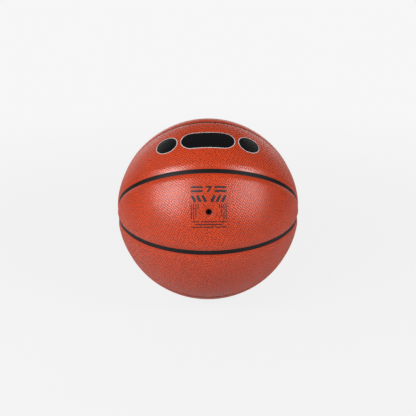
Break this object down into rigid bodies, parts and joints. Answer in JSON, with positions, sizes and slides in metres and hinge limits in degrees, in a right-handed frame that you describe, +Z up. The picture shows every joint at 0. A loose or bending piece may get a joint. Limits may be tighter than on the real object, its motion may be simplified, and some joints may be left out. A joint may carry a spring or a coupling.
{
  "type": "basketball",
  "caption": "Round full-size game ball with pebbled cover panels, rolled down to black rubber channels, over a wound carcass and an air bladder with a needle valve.",
  "frame": {"origin": "centre of the ball", "axes": "+Z up; the level seam is in the plane z = 0, the upright seam in the plane y = 0, the caps point along -Y and +Y, and the valve faces the front, -Y, 23 degrees above the level seam"},
  "size_m": [0.24, 0.2406, 0.2406],
  "materials": {
    "cover_leather": "pebbled composite leather, semi-matt",
    "channel_rubber": "matt moulded black rubber",
    "valve_rubber": "smooth soft black rubber",
    "foam": "fine sponge foam",
    "carcass_rubber": "moulded rubber",
    "winding_yarn": "wound nylon yarn",
    "bladder_rubber": "smooth butyl rubber"
  },
  "bodies": {
    "root": {"bladder": "bladder_rubber", "valve_patch": "bladder_rubber", "valve_housing": "valve_rubber", "valve_core": "valve_rubber", "nylon_winding": "winding_yarn", "carcass": "carcass_rubber", "channel_ring": "channel_rubber", "channel_hoop_upper": "channel_rubber", "channel_hoop_lower": "channel_rubber", "channel_loop_front_upper": "channel_rubber", "channel_loop_front_lower": "channel_rubber", "channel_loop_back_upper": "channel_rubber", "channel_loop_back_lower": "channel_rubber", "pad_cap_front_upper": "foam", "pad_cap_front_lower": "foam", "pad_cap_back_upper": "foam", "pad_cap_back_lower": "foam", "pad_strip_front_upper": "foam", "pad_strip_front_lower": "foam", "pad_strip_back_upper": "foam", "pad_strip_back_lower": "foam", "panel_cap_front_upper": "cover_leather", "panel_cap_front_lower": "cover_leather", "panel_cap_back_upper": "cover_leather", "panel_cap_back_lower": "cover_leather", "panel_strip_front_upper": "cover_leather", "panel_strip_front_lower": "cover_leather", "panel_strip_back_upper": "cover_leather", "panel_strip_back_lower": "cover_leather"}
  },
  "joints": []
}
